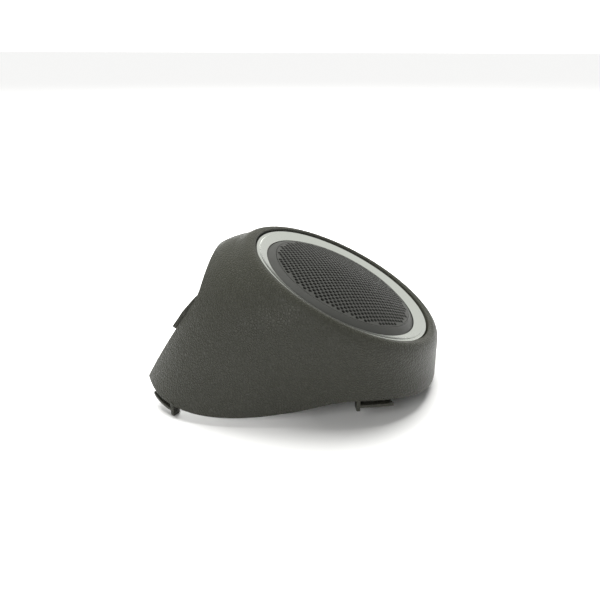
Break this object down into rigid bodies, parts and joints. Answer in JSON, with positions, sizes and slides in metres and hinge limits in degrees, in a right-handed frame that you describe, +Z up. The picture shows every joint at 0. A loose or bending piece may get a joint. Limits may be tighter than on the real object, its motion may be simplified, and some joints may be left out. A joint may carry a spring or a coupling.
{
  "type": "dashboard-corner car tweeter pod",
  "caption": "Grained plastic pod with a bright ring and a domed perforated grille, holding a soft-dome tweeter tilted towards the cabin.",
  "frame": {"origin": "on the resting plane, straight below the centre of the grille ring", "axes": "+X towards the nose of the pod, the way the grille leans; +Z up; XZ is the plane of symmetry of the housing"},
  "size_m": [0.1063, 0.0892, 0.0553],
  "materials": {
    "grained_plastic": "leather grain",
    "bright_plating": "satin chrome",
    "satin_black_plastic": "satin",
    "black_grille_paint": "satin",
    "black_cloth": "matte",
    "grey_felt": "matte",
    "foam": "matte",
    "black_moulding": "matte",
    "coated_silk": "satin",
    "former_foil": "bright",
    "copper_wire": "enamelled",
    "plated_steel": "zinc plated",
    "spring_steel": "phosphated",
    "nickel_plating": "bright",
    "tinned_brass": "tinned",
    "capacitor_sleeve": "gloss",
    "red_insulation": "satin",
    "black_insulation": "satin",
    "shrink_sleeve": "satin",
    "natural_nylon": "satin",
    "grey_connector": "satin",
    "orange_lock": "satin"
  },
  "bodies": {
    "pod": {"housing_shell": "grained_plastic", "bezel_ring": "bright_plating", "grille_frame": "satin_black_plastic", "grille_mesh": "black_grille_paint", "acoustic_cloth": "black_cloth", "front_gasket": "foam", "tweeter_frame": "black_moulding", "surround": "coated_silk", "pole_felt": "grey_felt", "pole_plate": "plated_steel", "magnet_disc": "nickel_plating", "yoke_cup": "plated_steel", "terminal_block": "black_moulding", "terminal_blades": "tinned_brass", "lead_out_wires": "copper_wire", "receptacles": "tinned_brass", "tweeter_carrier": "black_moulding", "carrier_screws": "plated_steel", "mounting_bush": "plated_steel", "spring_clips": "spring_steel", "felt_pads": "grey_felt", "capacitor_can": "capacitor_sleeve", "capacitor_leads": "tinned_brass", "supply_wire": "red_insulation", "feed_wire": "red_insulation", "return_wire": "black_insulation", "splice_sleeves": "shrink_sleeve", "cable_tie": "natural_nylon", "connector_body": "grey_connector", "connector_pins": "tinned_brass"},
    "moving_coil": {"dome_diaphragm": "coated_silk", "coil_former": "former_foil", "voice_coil": "copper_wire"},
    "lock_slider": {"connector_lock": "orange_lock"}
  },
  "joints": [
    {"name": "diaphragm_travel", "type": "slide", "parent": "pod", "child": "moving_coil", "axis": [0.4368, 0, 0.8996], "range_m": [-0.0004, 0.0004]},
    {"name": "lock_travel", "type": "slide", "parent": "pod", "child": "lock_slider", "axis": [1, 0, 0], "range_m": [-0.0025, 0]}
  ]
}
